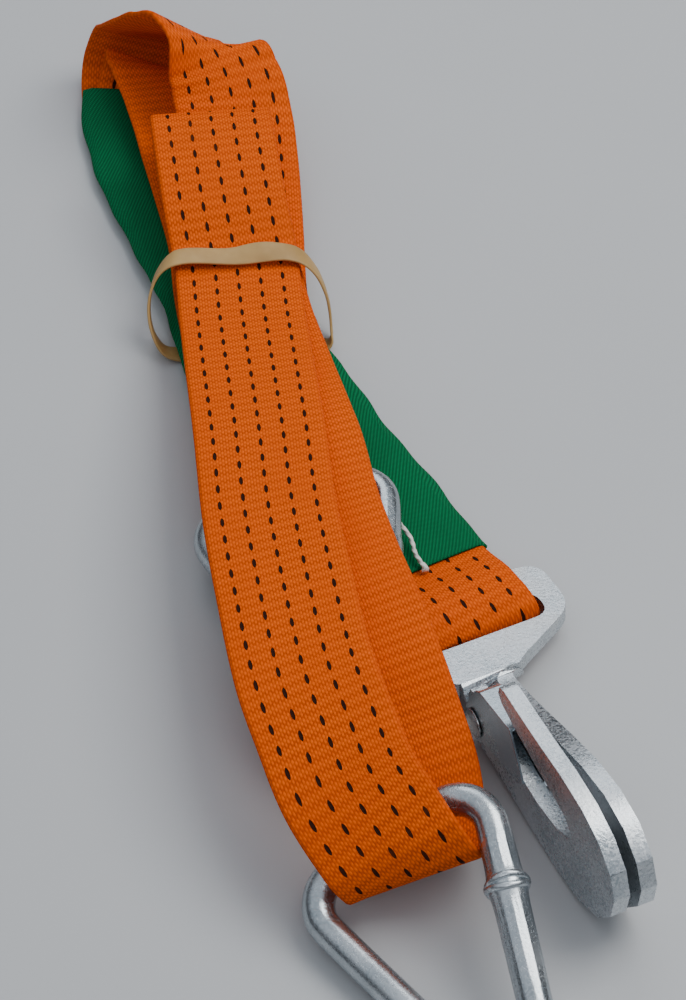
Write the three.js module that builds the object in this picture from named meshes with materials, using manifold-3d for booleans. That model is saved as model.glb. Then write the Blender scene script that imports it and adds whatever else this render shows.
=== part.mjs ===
// Winch strap: 50 mm polyester webbing with a protective sleeve, two welded triangle rings and a twin snap hook.
// It lies folded into a bundle on a level surface. Millimetres, +Z up, +Y along the bundle towards its loops.

import * as THREE from "three";
import { mergeVertices } from "three/addons/utils/BufferGeometryUtils.js";
import Module from "manifold-3d";

const wasm = await Module();
wasm.setup();

// Webbing
const WEB_WIDTH = 48;
const WEB_THICK = 2.4;
const WEB_STEPS = 3; // sections between two route points

// Sleeve, a flat woven tube
const SLEEVE_WIDTH = 56;
const SLEEVE_WALL = 0.9;
const SLEEVE_PLAY = 0.5; // between the webbing and each flat wall
const SLEEVE_SHIFT = -2; // the webbing lies nearer one edge of it

// Triangle rings of round bar
const RING_BAR = 12;
const RING_WIDTH = 66; // over the bar's centreline
const RING_LENGTH = 95;
const RING_CORNER = 13;
const RING_SIDES = 12;
const COLLAR_LENGTH = 11;
const COLLAR_RADIUS = 7;
const COLLAR_AT = 0.3; // share of the leg from the corner to the tip

// Twin snap hook
const PLATE_THICK = 6;
const PLATE_HALF_WIDTH = 42;
const BAR_HALF = 7; // half of the bar that the webbing goes round
const SLOT_WIDTH = 13;
const SLOT_HALF_LENGTH = 33.5;
const PLATE_FOOT = 16; // from the slot to where the plate tapers
const NECK_HALF = 11;
const NECK_START = 38;
const NECK_END = 51;
const BLADE_THICK = 6;
const BLADE_GAP = 4;
const RIVET_RADIUS = 4;
const RIVET_AT = 55;
const FRONT_START = 49.5;
const LATCH_SHEET = 1;
const LATCH_PLAY = 0.4;
const REAR_LATCH_TURN = 20; // how much further the rear latch has turned in
const CUT_GAP = 0.3; // clearance between fitted pieces

// Rubber band round the bundle
const BAND_WIDTH = 6;
const BAND_THICK = 1;

const THREAD_RADIUS = 0.7;

// Places in the bundle's working frame
const HOOK_PLACE = [35, -63.7, 7.6];
const HOOK_HEADING = 25.5; // degrees from -Y towards +X
const HOOK_TILT = 8;
const RING_1_PLACE = [14.7, -177.3, 25.8];
const RING_1_TURN = [22.4, -26.1, 10.8];
const RING_2_PLACE = [-20, -16, 18.6];
const RING_2_TURN = [15, -8, 0];

// Route of the webbing: the middle of its thickness (x, y, z), then yaw and roll of its width in degrees.
const ROUTE = [
  // sewn tail and the eye round the bar of the second ring
  [-33, 57, 11.1, 11, 1],
  [-30.5, 40, 11.5, 11, 3],
  [-26, 16, 11, 12, 5],
  [-23.2, -2, 10.2, 14, 7],
  [-21.5, -10, 9.7, 15, 8],
  [-19, -19, 10, 15, 8],
  [-17.2, -25.4, 14.2, 15, 8],
  [-17, -27, 18.6, 15, 8],
  [-17.4, -24.4, 24, 15, 8],
  [-19.4, -17, 27.2, 15, 8],
  // up to the inner loop
  [-21.8, -6, 25.6, 14, 7],
  [-27, 16, 18.6, 12, 5],
  [-31.5, 40, 15.8, 11, 3],
  [-36.5, 68, 14, 11, 1],
  [-41.5, 98, 11.4, 12, 0],
  [-45, 128, 12, 13, 0],
  [-50.5, 152, 13.2, 14, 0],
  [-57, 176, 15.2, 13, -3],
  [-62.5, 197, 16.8, 9, -6],
  [-68, 214, 17.6, 2, -9],
  [-73.5, 226.5, 16.2, -6, -11],
  [-75.4, 231.6, 13, -9, -8],
  [-76.6, 231.2, 9, -10, -5],
  // down through the sleeve to the hook
  [-78, 222.5, 6.8, -5, -2],
  [-77.6, 209, 5.4, 9, 0],
  [-71, 184, 5.4, 18, 0],
  [-60.7, 153.5, 5.4, 21, 0],
  [-46, 118.5, 6.8, 23.5, 0],
  [-30, 66, 6.8, 27, 0],
  [-15, 37, 5.4, 29, 0],
  [-1.4, 13, 5.4, 29.5, 0],
  [14, -13.5, 5.4, 29.5, 0],
  [30.4, -42, 7.4, 28, 0],
  [38.5, -57, 13.6, 26.5, 0],
  // bight round the bar of the hook
  [43.6, -66.5, 14.6, 25.5, 0],
  [48.6, -73.4, 9.6, 25.5, 0],
  [47.6, -72.2, 3.6, 25.5, 0],
  // back on the floor, under the sleeve
  [41, -61, 1.6, 26.5, 0],
  [30.4, -42, 1.4, 28, 0],
  [14, -13.5, 1.3, 29.5, 0],
  [-1.4, 13, 1.3, 29.5, 0],
  [-15, 37, 1.3, 29, 0],
  [-30, 66, 2.8, 27, 0],
  [-46, 118.5, 2.8, 23.5, 0],
  [-60.7, 153.5, 1.3, 21, 0],
  [-71.5, 184, 1.3, 18, 0],
  [-79.5, 209, 1.4, 14, 0],
  [-84, 225, 2, 12, 0],
  // outer loop
  [-84.5, 240.5, 6.5, 8, -3],
  [-80, 243.5, 20, 5, -9],
  [-73, 233, 32, 2, -14],
  [-66, 223.5, 40, -1, -22],
  [-59.5, 215, 44.5, -8, -28],
  [-53, 207, 44, -13, -28],
  [-48, 199, 39, -11, -26],
  [-44.5, 188.5, 32, -5, -19],
  [-42.5, 175, 25.4, -1, -10],
  // down to the hidden fold
  [-41, 157, 20.6, 2, -5],
  [-39.5, 130, 17, 5, -1],
  [-38, 98, 14.8, 8, 0],
  [-35, 66, 17.8, 8, 2],
  [-31, 34, 22.6, 9, 4],
  [-25.5, -2, 29.4, 10, 6],
  [-20, -42, 29.4, 10, 7],
  [-16.5, -72, 28, 8, 6],
  [-14, -92, 26.6, 7, 5],
  [-12.8, -101, 28.6, 7, 5],
  // back up under the top strand
  [-14, -92, 31, 7, 5],
  [-17, -72, 31.4, 8, 6],
  [-20.5, -42, 32.8, 10, 7],
  [-26, -2, 33, 10, 6],
  [-32, 34, 26.4, 9, 4],
  [-36.5, 66, 21.4, 8, 2],
  [-40, 98, 18.4, 7, 0],
  [-45, 128, 21.2, 6, 0],
  [-49.5, 152, 27, 6, 0],
  [-52, 170, 31, 6, 0],
  // top fold and top strand
  [-53, 177, 35.4, 6, 0],
  [-52.4, 170, 39.2, 6, 0],
  [-50, 152, 39.4, 6.5, 0],
  [-46, 126, 34.8, 6, 1],
  [-41.3, 101.5, 25.8, 6, 1],
  [-38.6, 74, 27.6, 6, 2],
  [-36, 48.4, 32.6, 6, 2.5],
  [-30.4, -3.6, 42.4, 6, 5],
  [-26, -48.2, 47, 6, 8.5],
  [-20, -88.5, 50.5, 7, 11],
  [-13, -126.4, 51.5, 9, 13],
  [-6.4, -147.3, 49, 11, 15],
  [1.6, -168, 43.5, 12, 17],
  [11.6, -182.8, 36.5, 11, 19],
  [18, -189.7, 30.8, 9, 21],
  [23, -191.1, 23.6, 8, 22],
  // bottom bight and the free end
  [25, -184.6, 16.1, 8, 21],
  [25.9, -174.6, 13.3, 10, 19],
  [24.7, -159.5, 15.8, 11, 18],
  [22.6, -146, 20, 12, 17],
  [17.7, -130, 25.4, 14, 15],
  [11.2, -112, 33.4, 15, 13],
  [3.1, -86.7, 37.6, 16, 11],
  [-3.8, -64.5, 37.8, 15, 9],
  [-10.4, -40, 38, 13, 8],
  [-16.4, -10, 38.4, 11, 6],
  [-21, 10, 35.4, 11, 5],
  [-28, 41, 29, 11, 3],
  [-36, 76, 23.8, 8, 1],
  [-40.4, 102, 22, 7, 0],
  [-44.5, 126, 26.6, 7, 0],
];

const SLEEVE_FROM = 23; // route points that the sleeve covers
const SLEEVE_TO = 32;

const rad = THREE.MathUtils.degToRad;
const V = (x, y, z) => new THREE.Vector3(x, y, z);

// A closed body from rings of points: capped at both ends, or joined end to end.
function loft(rings, closed = false) {
  const n = rings[0].length;
  const points = rings.flat();
  const faces = [];
  const last = closed ? rings.length : rings.length - 1;
  for (let i = 0; i < last; i++) {
    const a = i * n;
    const b = ((i + 1) % rings.length) * n;
    for (let j = 0; j < n; j++) {
      const k = (j + 1) % n;
      faces.push(a + j, a + k, b + k, a + j, b + k, b + j);
    }
  }
  if (!closed) {
    const flat = capTriangles(rings[0]);
    const end = (rings.length - 1) * n;
    for (const [p, q, r] of flat) {
      faces.push(r, q, p);
      faces.push(end + p, end + q, end + r);
    }
  }
  const geometry = new THREE.BufferGeometry();
  geometry.setAttribute("position", new THREE.Float32BufferAttribute(points.flatMap((p) => [p.x, p.y, p.z]), 3));
  geometry.setIndex(faces);
  return geometry;
}

function capTriangles(ring) {
  const triangles = [];
  for (let i = 1; i < ring.length - 1; i++) {
    triangles.push([0, i, i + 1]);
  }
  return triangles;
}

// Solids for cutting and joining
function solid(geometry) {
  let g = geometry.clone();
  g.deleteAttribute("normal");
  g.deleteAttribute("uv");
  g = mergeVertices(g, 1e-4);
  const mesh = new wasm.Mesh({
    numProp: 3,
    vertProperties: new Float32Array(g.attributes.position.array),
    triVerts: new Uint32Array(g.index.array),
  });
  return new wasm.Manifold(mesh);
}

function geometryOf(manifold) {
  const mesh = manifold.getMesh();
  const geometry = new THREE.BufferGeometry();
  geometry.setAttribute("position", new THREE.BufferAttribute(new Float32Array(mesh.vertProperties), 3));
  geometry.setIndex(new THREE.BufferAttribute(new Uint32Array(mesh.triVerts), 1));
  return geometry;
}

// The width direction of a strap from its yaw and roll
function widthOf(yaw, roll) {
  const c = Math.cos(rad(roll));
  return V(c * Math.cos(rad(yaw)), c * Math.sin(rad(yaw)), Math.sin(rad(roll)));
}

// Frames along a stretch of the route: place, width direction and normal
function framesAlong(route, steps) {
  const curve = new THREE.CatmullRomCurve3(route.map((p) => V(p[0], p[1], p[2])), false, "centripetal");
  const frames = [];
  const count = (route.length - 1) * steps;
  for (let i = 0; i <= count; i++) {
    const t = i / count;
    const at = t * (route.length - 1);
    const k = Math.min(Math.floor(at), route.length - 2);
    const f = at - k;
    const s = f * f * (3 - 2 * f);
    const width = widthOf(
      THREE.MathUtils.lerp(route[k][3], route[k + 1][3], s),
      THREE.MathUtils.lerp(route[k][4], route[k + 1][4], s),
    );
    const along = curve.getTangent(t).normalize();
    width.addScaledVector(along, -width.dot(along)).normalize();
    const normal = new THREE.Vector3().crossVectors(along, width).normalize();
    frames.push({ place: curve.getPoint(t), along, width, normal });
  }
  return frames;
}

function rectangleAt(frame, width, height, across = 0, up = 0) {
  const corners = [[-1, -1], [1, -1], [1, 1], [-1, 1]];
  return corners.map(([a, b]) =>
    frame.place
      .clone()
      .addScaledVector(frame.width, across + (a * width) / 2)
      .addScaledVector(frame.normal, up + (b * height) / 2),
  );
}

const part = new THREE.Group();
const assembly = new THREE.Group();
part.add(assembly);

const zinc = { color: 0xb8bec4, roughness: 0.35, metalness: 0.9 };
const orange = { color: 0xe06a10, roughness: 0.85, metalness: 0 };

function piece(name, geometry, look, group = assembly) {
  const mesh = new THREE.Mesh(geometry, new THREE.MeshStandardMaterial(look));
  mesh.name = name;
  group.add(mesh);
  return mesh;
}

// Webbing
const webFrames = framesAlong(ROUTE, WEB_STEPS);
piece("webbing", loft(webFrames.map((f) => rectangleAt(f, WEB_WIDTH, WEB_THICK))), orange);

// Sleeve: the outer tube less the space inside it
const sleeveFrames = webFrames.slice(SLEEVE_FROM * WEB_STEPS, SLEEVE_TO * WEB_STEPS + 1);
const sleeveRoom = WEB_THICK + 2 * SLEEVE_PLAY;
const sleeveHeight = sleeveRoom + 2 * SLEEVE_WALL;
const sleeveOuter = loft(sleeveFrames.map((f) => rectangleAt(f, SLEEVE_WIDTH, sleeveHeight, SLEEVE_SHIFT)));
const beyond = (f, d) => ({ ...f, place: f.place.clone().addScaledVector(f.along, d) });
const roomFrames = [beyond(sleeveFrames[0], -3), ...sleeveFrames.slice(1, -1), beyond(sleeveFrames.at(-1), 3)];
const sleeveInner = loft(
  roomFrames.map((f) => rectangleAt(f, SLEEVE_WIDTH - 2 * SLEEVE_WALL, sleeveRoom, SLEEVE_SHIFT)),
);
piece("sleeve", geometryOf(solid(sleeveOuter).subtract(solid(sleeveInner))), {
  color: 0x0d6b3c,
  roughness: 0.8,
  metalness: 0,
});

// Triangle ring: a round bar along a triangle with rounded corners, the straight base on local X
function ringPath() {
  const base = V(RING_WIDTH / 2 - RING_CORNER, -RING_CORNER, 0);
  const tip = V(0, RING_CORNER - RING_LENGTH, 0);
  const legAngle = Math.atan2(base.y - tip.y, base.x - tip.x) - Math.PI / 2;
  const arcs = [
    [base, legAngle, Math.PI / 2],
    [V(-base.x, base.y, 0), Math.PI / 2, Math.PI - legAngle],
    [tip, Math.PI - legAngle, 2 * Math.PI + legAngle],
  ];
  const points = [];
  for (const [centre, from, to] of arcs) {
    const steps = Math.max(4, Math.round((to - from) / rad(18)));
    for (let i = 0; i <= steps; i++) {
      const angle = from + ((to - from) * i) / steps;
      points.push({
        place: V(centre.x + RING_CORNER * Math.cos(angle), centre.y + RING_CORNER * Math.sin(angle), 0),
        out: V(Math.cos(angle), Math.sin(angle), 0),
      });
    }
  }
  return { points, base, tip, legAngle };
}

function ringGeometry() {
  const { points, base, tip, legAngle } = ringPath();
  const rings = points.map(({ place, out }) => {
    const section = [];
    for (let j = 0; j < RING_SIDES; j++) {
      const angle = (2 * Math.PI * (j + 0.5)) / RING_SIDES;
      section.push(
        place
          .clone()
          .addScaledVector(out, (RING_BAR / 2) * Math.cos(angle))
          .add(V(0, 0, (-RING_BAR / 2) * Math.sin(angle))),
      );
    }
    return section;
  });
  const out = V(Math.cos(legAngle), Math.sin(legAngle), 0);
  const from = base.clone().addScaledVector(out, RING_CORNER);
  const to = tip.clone().addScaledVector(out, RING_CORNER);
  const collar = new THREE.LatheGeometry(
    [
      [0, -COLLAR_LENGTH / 2],
      [RING_BAR / 2 - 0.5, -COLLAR_LENGTH / 2],
      [COLLAR_RADIUS, -COLLAR_LENGTH / 4],
      [COLLAR_RADIUS, COLLAR_LENGTH / 4],
      [RING_BAR / 2 - 0.5, COLLAR_LENGTH / 2],
      [0, COLLAR_LENGTH / 2],
    ].map(([x, y]) => new THREE.Vector2(x, y)),
    RING_SIDES,
  );
  const turn = new THREE.Quaternion().setFromUnitVectors(V(0, 1, 0), to.clone().sub(from).normalize());
  collar.applyQuaternion(turn);
  const seat = from.clone().lerp(to, COLLAR_AT);
  collar.translate(seat.x, seat.y, seat.z);
  return geometryOf(solid(loft(rings, true)).add(solid(collar)));
}

function placeRing(name, at, turn) {
  const mesh = piece(name, ringGeometry(), zinc);
  mesh.position.set(...at);
  mesh.rotation.set(rad(turn[2]), rad(turn[1]), rad(turn[0]), "ZYX");
  return mesh;
}
placeRing("ring_lower", RING_1_PLACE, RING_1_TURN);
placeRing("ring_upper", RING_2_PLACE, RING_2_TURN);

// Hook: local X along its length from the webbing's bar, Y across, Z up
const hook = new THREE.Group();
hook.position.set(...HOOK_PLACE);
hook.rotation.set(0, rad(-HOOK_TILT), rad(HOOK_HEADING - 90), "ZYX");
assembly.add(hook);

const slotFrom = BAR_HALF;
const slotTo = BAR_HALF + SLOT_WIDTH;
const plateFoot = slotTo + PLATE_FOOT;

function roundedShape(corners) {
  // corners: [x, y, radius], each rounded by a quadratic curve
  const shape = new THREE.Shape();
  corners.forEach(([x, y, radius], i) => {
    const before = corners[(i + corners.length - 1) % corners.length];
    const after = corners[(i + 1) % corners.length];
    const toBefore = new THREE.Vector2(before[0] - x, before[1] - y).normalize();
    const toAfter = new THREE.Vector2(after[0] - x, after[1] - y).normalize();
    const start = [x + toBefore.x * radius, y + toBefore.y * radius];
    if (i === 0) {
      shape.moveTo(...start);
    } else {
      shape.lineTo(...start);
    }
    if (radius > 0) {
      shape.quadraticCurveTo(x, y, x + toAfter.x * radius, y + toAfter.y * radius);
    }
  });
  return shape;
}

function slab(shape, thick, curveSegments = 5) {
  const geometry = new THREE.ExtrudeGeometry(shape, { depth: thick, bevelEnabled: false, curveSegments });
  geometry.translate(0, 0, -thick / 2);
  return geometry;
}

const plateShape = roundedShape([
  [-BAR_HALF, -PLATE_HALF_WIDTH, 9],
  [slotTo, -PLATE_HALF_WIDTH, 8],
  [plateFoot, -NECK_HALF - 3, 5],
  [NECK_START + 1, -NECK_HALF, 0],
  [NECK_START + 1, NECK_HALF, 0],
  [plateFoot, NECK_HALF + 3, 5],
  [slotTo, PLATE_HALF_WIDTH, 8],
  [-BAR_HALF, PLATE_HALF_WIDTH, 9],
]);
const slotShape = roundedShape([
  [slotFrom, -SLOT_HALF_LENGTH, SLOT_WIDTH / 2.2],
  [slotTo, -SLOT_HALF_LENGTH, SLOT_WIDTH / 2.2],
  [slotTo, SLOT_HALF_LENGTH, SLOT_WIDTH / 2.2],
  [slotFrom, SLOT_HALF_LENGTH, SLOT_WIDTH / 2.2],
]);
const plateSolid = solid(slab(plateShape, PLATE_THICK)).subtract(solid(slab(slotShape, PLATE_THICK * 2)));

// The neck turns a quarter from flat to upright
function neckGeometry() {
  const rings = [];
  const steps = 8;
  for (let i = 0; i <= steps; i++) {
    const t = i / steps;
    const turn = (Math.PI / 2) * (t * t * (3 - 2 * t));
    const x = THREE.MathUtils.lerp(NECK_START, NECK_END, t);
    const c = Math.cos(turn);
    const s = Math.sin(turn);
    const corners = [[-1, -1], [1, -1], [1, 1], [-1, 1]];
    rings.push(
      corners.map(([a, b]) => {
        const y = a * NECK_HALF;
        const z = (b * PLATE_THICK) / 2;
        return V(x, y * c - z * s, y * s + z * c);
      }),
    );
  }
  rings.push(rings.at(-1).map((p) => p.clone().add(V(2, 0, 0))));
  return loft(rings);
}

// Blade outlines in their own plane: X along the hook, Y towards the tip, from the lower edge round the tip
const FRONT_OUTLINE = [
  [54, -11.2], [66, -12.4], [80, -15.6], [96, -19.4], [112, -22.4], [128, -22.6], [141, -18.4], [149.5, -10],
  [152.5, 0], [150, 9.5], [142.5, 17.5], [131, 23], [116, 26.2], [100, 27.6], [86, 29.4], [76, 31],
  [72.4, 30], [71.6, 26.8], [74, 23.8],
  [84, 19.6], [97, 15.6], [110, 12], [118.5, 9], [122.5, 4.4], [120, 0], [112, -2], [99, -2], [88, 0], [76, 4.4],
  [66, 9], [56, 11],
];
const REAR_OUTLINE = [
  [54, -11.2], [66, -12.8], [80, -15.8], [96, -19.6], [112, -22.4], [128, -22.6], [141, -18.4], [149.5, -10],
  [152.5, 0], [150, 9.5], [142.5, 17], [131, 21.4], [116, 21.8], [100, 19.8], [86, 18.2], [76, 17.2],
  [73.4, 16.4], [73.2, 14.4], [75, 12.9],
  [86, 11.2], [98, 12.8], [108, 12.4], [116, 10.2], [121, 6], [122.5, 0], [118, -5], [110, -7.4], [100, -7],
  [90, -5], [80, -2.4], [72, 1], [66, 5], [61, 9.4], [56, 11],
];

function bladeShape(outline, from) {
  const root = [[from, 10.5], [from - 1.5, 7], [from - 1.5, -7.5], [from, -11]];
  return new THREE.Shape([...root, ...outline].map((p) => new THREE.Vector2(...p)));
}

// A profile in local X and Z, given a thickness along Y. Side -1 turns it over.
function upright(geometry, side, offset) {
  geometry.rotateX(Math.PI / 2);
  if (side < 0) {
    geometry.rotateX(Math.PI);
  }
  geometry.translate(0, offset, 0);
  return geometry;
}

const frontOffset = -(BLADE_THICK + BLADE_GAP);
const half = BLADE_THICK / 2;
const rivetHole = solid(
  new THREE.CylinderGeometry(RIVET_RADIUS + CUT_GAP, RIVET_RADIUS + CUT_GAP, 120, 20).translate(RIVET_AT, 0, 0),
);

// Plate, twisted neck and rear blade are one forging
const plateEnd = solid(new THREE.BoxGeometry(40, 200, 60).translate(NECK_START + 20.2, 0, 0));
const forging = plateSolid
  .subtract(plateEnd)
  .add(solid(neckGeometry()))
  .add(solid(upright(slab(bladeShape(REAR_OUTLINE, NECK_END + 1), BLADE_THICK), -1, 0)))
  .subtract(rivetHole);
piece("hook_plate", geometryOf(forging), zinc, hook);

const frontBlade = solid(upright(slab(bladeShape(FRONT_OUTLINE, FRONT_START), BLADE_THICK), 1, frontOffset));
piece("hook_blade", geometryOf(frontBlade.subtract(rivetHole)), zinc, hook);

// Latch: a folded sheet with a wall on each side of the blade and a web across the hook's mouth
const LATCH_WALL = [
  [48.2, -1], [48.6, 3.4], [51.5, 9.5], [56, 15.6], [60, 18], [82, 19], [86.6, 9], [90.4, 0.4], [86, -2.4],
  [72, -3.2], [62, -5], [57, -7], [52, -6.4], [49, -3.6],
];
const LATCH_ROOM = [
  [40, -20], [40, 30], [57.5, 30], [57.5, 15.4], [60.4, 16.9], [82.2, 17.9], [100, 17.9], [100, -20],
];
const latchReach = half + LATCH_PLAY + LATCH_SHEET;

function latchGeometry(side, offset, turn) {
  const shape = (points) => new THREE.Shape(points.map((p) => new THREE.Vector2(...p)));
  const outer = slab(shape(LATCH_WALL), 2 * latchReach);
  const room = slab(shape(LATCH_ROOM), 2 * (half + LATCH_PLAY));
  for (const g of [outer, room]) {
    g.translate(-RIVET_AT, 0, 0);
    g.rotateZ(rad(-turn));
    g.translate(RIVET_AT, 0, 0);
    upright(g, side, offset);
  }
  return geometryOf(solid(outer).subtract(solid(room)).subtract(rivetHole));
}
piece("latch_front", latchGeometry(1, frontOffset, 0), zinc, hook);
piece("latch_rear", latchGeometry(-1, 0, REAR_LATCH_TURN), zinc, hook);

// The rivet through both blades and both latches
const rivetLow = frontOffset - latchReach - CUT_GAP;
const rivetHigh = latchReach + CUT_GAP;
const rivet = new THREE.LatheGeometry(
  [
    [0, rivetLow - 1.8],
    [RIVET_RADIUS - 0.6, rivetLow - 1.6],
    [RIVET_RADIUS + 1.6, rivetLow - 0.7],
    [RIVET_RADIUS + 1.6, rivetLow],
    [RIVET_RADIUS, rivetLow],
    [RIVET_RADIUS, rivetHigh],
    [RIVET_RADIUS + 1.6, rivetHigh],
    [RIVET_RADIUS + 1.6, rivetHigh + 0.7],
    [RIVET_RADIUS - 0.6, rivetHigh + 1.6],
    [0, rivetHigh + 1.8],
  ].map((p) => new THREE.Vector2(...p)),
  20,
);
rivet.translate(RIVET_AT, 0, 0);
piece("blade_rivet", rivet, zinc, hook);

// Rubber band: a closed loop, leaning as it passes round the bundle. Last value: degrees of lean of its width.
const BAND_ROUTE = [
  [-64, 100, 29.4, 0], [-41, 101, 28.9, 0], [-19, 102, 29.6, 0], [-11.5, 99, 25, 20], [-6.5, 93, 17, 36],
  [-4.6, 86, 7, 36], [-4.9, 82, 2.4, 18], [-9, 80.7, 0.9, 0], [-36, 78.6, 0.9, 0], [-60, 76, 0.95, 0],
  [-68.5, 76.6, 2.4, 18], [-73.6, 82, 8, 36], [-74.6, 90, 17, 36], [-70.6, 97.4, 25, 20],
];

function bandGeometry() {
  const curve = new THREE.CatmullRomCurve3(BAND_ROUTE.map((p) => V(p[0], p[1], p[2])), true, "centripetal");
  const count = BAND_ROUTE.length * 4;
  const rings = [];
  for (let i = 0; i < count; i++) {
    const t = i / count;
    const at = t * BAND_ROUTE.length;
    const k = Math.floor(at);
    const lean = rad(THREE.MathUtils.lerp(BAND_ROUTE[k][3], BAND_ROUTE[(k + 1) % BAND_ROUTE.length][3], at - k));
    const along = curve.getTangent(t).normalize();
    const width = V(0, Math.cos(lean), -Math.sin(lean));
    width.addScaledVector(along, -width.dot(along)).normalize();
    const normal = new THREE.Vector3().crossVectors(along, width).normalize();
    rings.push(rectangleAt({ place: curve.getPoint(t), width, normal }, BAND_WIDTH, BAND_THICK));
  }
  return loft(rings, true);
}
piece("rubber_band", bandGeometry(), { color: 0xcdaf78, roughness: 0.6, metalness: 0 });

// Loose end of the sewing thread
const THREAD_ROUTE = [[19, -19, 11.8], [23, -28, 12.4], [26.4, -37, 11.6], [29.4, -45.6, 10.8]];
piece(
  "thread_end",
  threadGeometry(),
  { color: 0xe8e6e0, roughness: 0.8, metalness: 0 },
);

function threadGeometry() {
  const curve = new THREE.CatmullRomCurve3(THREAD_ROUTE.map((p) => V(...p)));
  const rings = [];
  for (let i = 0; i <= 6; i++) {
    const place = curve.getPoint(i / 6);
    const along = curve.getTangent(i / 6).normalize();
    const width = new THREE.Vector3().crossVectors(V(0, 0, 1), along).normalize();
    const normal = new THREE.Vector3().crossVectors(along, width).normalize();
    const ring = [];
    for (let j = 0; j < 6; j++) {
      const angle = (2 * Math.PI * j) / 6;
      ring.push(
        place
          .clone()
          .addScaledVector(width, THREAD_RADIUS * Math.cos(angle))
          .addScaledVector(normal, THREAD_RADIUS * Math.sin(angle)),
      );
    }
    rings.push(ring);
  }
  return loft(rings);
}

// The shift that puts the origin under the middle of the whole part
part.updateMatrixWorld(true);
const box = new THREE.Box3().setFromObject(part, true);
assembly.position.set(-(box.min.x + box.max.x) / 2, -(box.min.y + box.max.y) / 2, -box.min.z);

export default part;
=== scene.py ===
"""Winch strap: visual pieces built over the CAD frame."""

import math

import bmesh
import bpy
from mathutils import Euler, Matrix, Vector


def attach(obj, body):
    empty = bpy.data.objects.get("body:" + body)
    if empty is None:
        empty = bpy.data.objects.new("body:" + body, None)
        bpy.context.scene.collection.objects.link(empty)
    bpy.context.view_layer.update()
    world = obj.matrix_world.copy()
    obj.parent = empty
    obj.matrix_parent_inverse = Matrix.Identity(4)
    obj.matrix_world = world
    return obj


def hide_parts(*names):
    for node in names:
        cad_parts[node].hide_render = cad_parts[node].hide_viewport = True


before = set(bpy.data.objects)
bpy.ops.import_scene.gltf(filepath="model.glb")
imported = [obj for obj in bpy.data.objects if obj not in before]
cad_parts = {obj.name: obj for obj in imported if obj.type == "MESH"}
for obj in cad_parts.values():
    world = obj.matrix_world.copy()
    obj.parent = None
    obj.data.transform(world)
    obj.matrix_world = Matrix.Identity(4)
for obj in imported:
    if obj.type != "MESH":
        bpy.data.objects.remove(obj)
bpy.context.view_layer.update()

bl_info = {
    "name": "Winch strap",
    "version": (1, 0, 0),
    "blender": (4, 5, 0),
    "location": "3D View > Sidebar > Winch strap",
    "description": "Builds a folded winch strap with its rings, hook, sleeve and rubber band",
    "category": "Object",
}

MM = 0.001
SHIFT = Vector((3.0833602871, 9.6824810140, 0.0028641557))

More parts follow.
